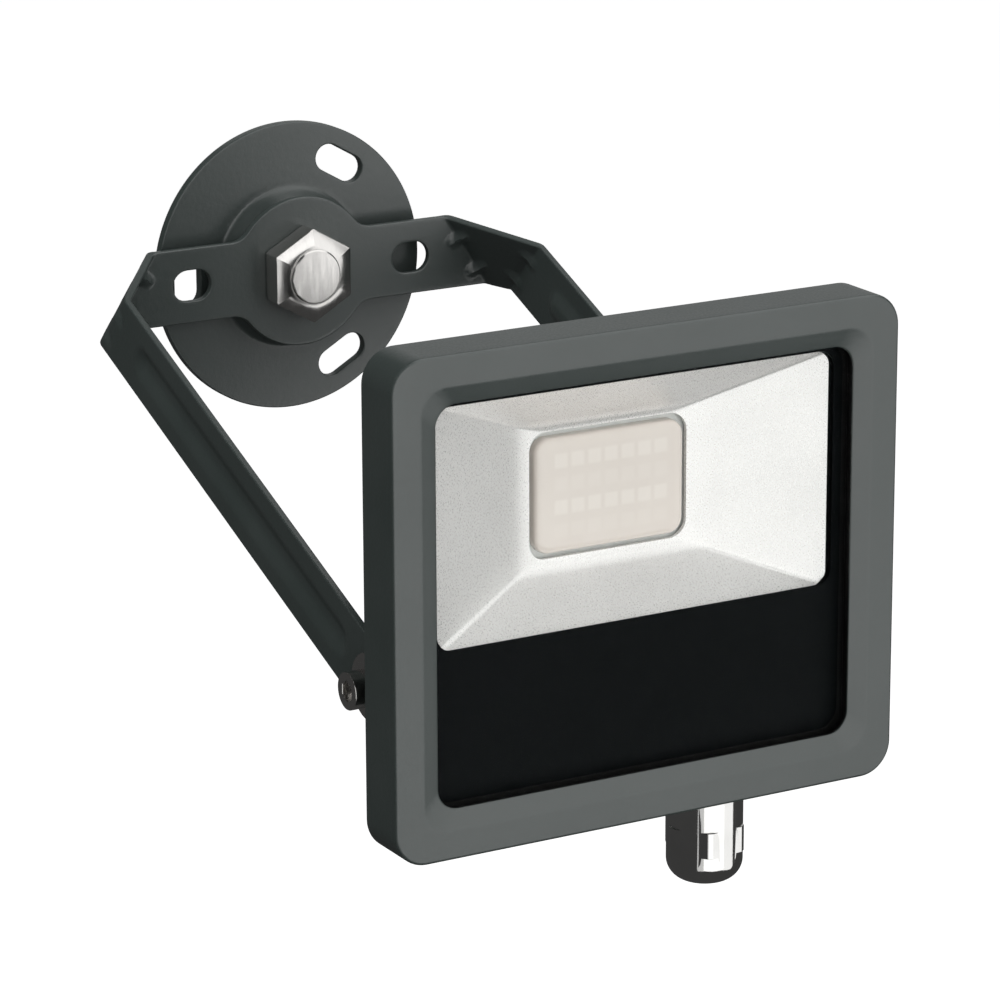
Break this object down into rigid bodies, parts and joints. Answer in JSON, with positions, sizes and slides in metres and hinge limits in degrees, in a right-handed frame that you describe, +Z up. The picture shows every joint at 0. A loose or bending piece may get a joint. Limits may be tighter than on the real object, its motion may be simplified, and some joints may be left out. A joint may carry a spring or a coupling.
{
  "type": "wall-mounted led floodlight",
  "caption": "Rectangular LED floodlight with a recessed reflector and cable gland, tilting between the arms of a folded bracket that swivels on a round wall plate.",
  "frame": {"origin": "where the centre bolt's axis meets the wall plane, at the back of the wall plate", "axes": "+Z up, +Y into the wall; the lamp faces -Y, +X is to the right as seen from the wall's front facing the wall"},
  "size_m": [0.1502, 0.2043, 0.1808],
  "materials": {
    "anthracite": "satin powder coat",
    "stainless": "satin",
    "zinc_steel": "bright zinc",
    "washer_fibre": "matte",
    "front_glass": "clear tempered, polished",
    "seal_rubber": "matte",
    "cover_black": "smooth black",
    "reflector_metal": "fine-blasted, bright",
    "lens_opal": "frosted opal",
    "led_phosphor": "matte",
    "board_white": "white solder mask",
    "pad_grey": "matte",
    "driver_plastic": "matte",
    "terminal_plastic": "matte",
    "terminal_brass": "plated",
    "wire_red": "insulation",
    "wire_brown": "insulation",
    "nickel_brass": "polished nickel plate"
  },
  "bodies": {
    "wall_mount": {"wall_plate": "anthracite", "centre_bolt": "stainless", "hex_nut": "stainless"},
    "bracket_arm": {"bracket": "anthracite", "swivel_washer": "washer_fibre"},
    "lamp_head": {"pivot_screws": "stainless", "pivot_washers": "stainless", "pivot_discs": "washer_fibre", "front_frame": "anthracite", "front_glass": "front_glass", "glass_gasket": "seal_rubber", "inner_cover": "cover_black", "reflector": "reflector_metal", "led_lens": "lens_opal", "led_chips": "led_phosphor", "led_board": "board_white", "board_screws": "zinc_steel", "thermal_pad": "pad_grey", "housing": "anthracite", "frame_screws": "zinc_steel", "driver_case": "driver_plastic", "driver_screws": "zinc_steel", "terminal_block": "terminal_plastic", "terminal_screws": "terminal_brass", "led_wires": "wire_red", "mains_wires": "wire_brown", "earth_screw": "terminal_brass", "gland_body": "nickel_brass", "gland_ring": "seal_rubber", "gland_seal": "seal_rubber", "gland_nut": "nickel_brass"}
  },
  "joints": [
    {"name": "bracket_swivel", "type": "hinge", "parent": "wall_mount", "child": "bracket_arm", "pos_m": [0, -0.0101, 0], "axis": [0, -1, 0], "continuous": true},
    {"name": "lamp_tilt", "type": "hinge", "parent": "bracket_arm", "child": "lamp_head", "pos_m": [0, -0.1787, -0.0668], "axis": [1, 0, 0], "range_deg": [-55, 100]}
  ]
}
